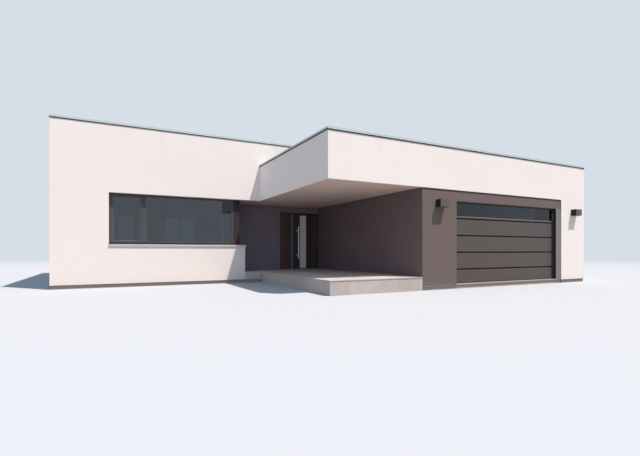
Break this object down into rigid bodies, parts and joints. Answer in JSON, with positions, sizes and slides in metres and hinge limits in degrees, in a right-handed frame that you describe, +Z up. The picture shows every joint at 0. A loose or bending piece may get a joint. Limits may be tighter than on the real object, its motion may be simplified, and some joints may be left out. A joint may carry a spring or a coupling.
{
  "type": "single-storey modern house with attached garage",
  "caption": "Modern white-rendered bungalow with a tall living wing, corner window, deep porch canopy, brown garage front, sectional garage door and hinged entrance door.",
  "frame": {"origin": "centre of the underside of the overall box, on the lowest ground", "axes": "+X runs along the front to the garage side, +Y runs from the front to the rear, +Z is up; the garage door and entrance face -Y"},
  "size_m": [17.9, 15.025, 5.305],
  "materials": {
    "white_render": "fine white mineral render",
    "brown_render": "fine brown-grey mineral render",
    "dark_render": "fine anthracite mineral render",
    "concrete": "plain concrete",
    "stone_paving": "pale stone slabs with fine joints",
    "soffit_board": "smooth rendered soffit board",
    "gravel": "washed roof gravel",
    "coping_metal": "satin pale grey-green coated sheet",
    "anthracite_metal": "satin anthracite powder coat",
    "window_glass": "clear tinted glass units",
    "frosted_glass": "frosted glass",
    "garage_panel": "brown coated steel with a fine woodgrain emboss",
    "galvanised_steel": "galvanised steel",
    "stainless_steel": "brushed stainless steel",
    "brown_boards": "dark brown stained boards",
    "lamp_metal": "brown-grey powder coat"
  },
  "bodies": {
    "house": {"foundation": "concrete", "house_floor": "stone_paving", "garage_floor": "concrete", "porch_slab": "stone_paving", "wing_front_pier": "white_render", "window_apron": "white_render", "wing_upper_wall": "white_render", "left_wall": "white_render", "rear_wall_tall": "white_render", "rear_wall_low": "white_render", "right_wall": "white_render", "garage_side_wall": "brown_render", "porch_wall_left": "dark_render", "porch_wall_over_door": "dark_render", "garage_portal": "brown_render", "garage_white_pier": "white_render", "front_fascia": "white_render", "canopy_side_fascia": "white_render", "canopy_soffit": "soffit_board", "low_roof_slab": "concrete", "tall_roof_slab": "concrete", "roof_gravel": "gravel", "low_coping": "coping_metal", "tall_coping": "coping_metal", "corner_post": "dark_render", "corner_window_frame": "anthracite_metal", "corner_window_sash": "anthracite_metal", "corner_window_glass": "window_glass", "window_sills": "coping_metal", "window_frames": "anthracite_metal", "window_glass": "window_glass", "garage_door_section_1": "garage_panel", "garage_door_section_2": "garage_panel", "garage_door_section_3": "garage_panel", "garage_door_section_4": "garage_panel", "garage_door_section_5": "garage_panel", "garage_door_glazing": "window_glass", "garage_door_tracks": "galvanised_steel", "garage_door_rollers": "galvanised_steel", "entrance_frame": "anthracite_metal", "entrance_side_panels": "brown_boards", "entrance_frame_hinges": "stainless_steel", "wall_lamps": "lamp_metal", "wall_lamp_glass": "frosted_glass"},
    "entrance_door": {"entrance_leaf": "anthracite_metal", "entrance_leaf_glass": "frosted_glass", "entrance_edge_plate": "stainless_steel", "entrance_pull_bar": "stainless_steel", "entrance_leaf_hinges": "stainless_steel"}
  },
  "joints": [
    {"name": "entrance_door_hinge", "type": "hinge", "parent": "house", "child": "entrance_door", "pos_m": [0.4575, -0.4155, 1.54], "axis": [0, 0, -1], "range_deg": [0, 90]}
  ]
}
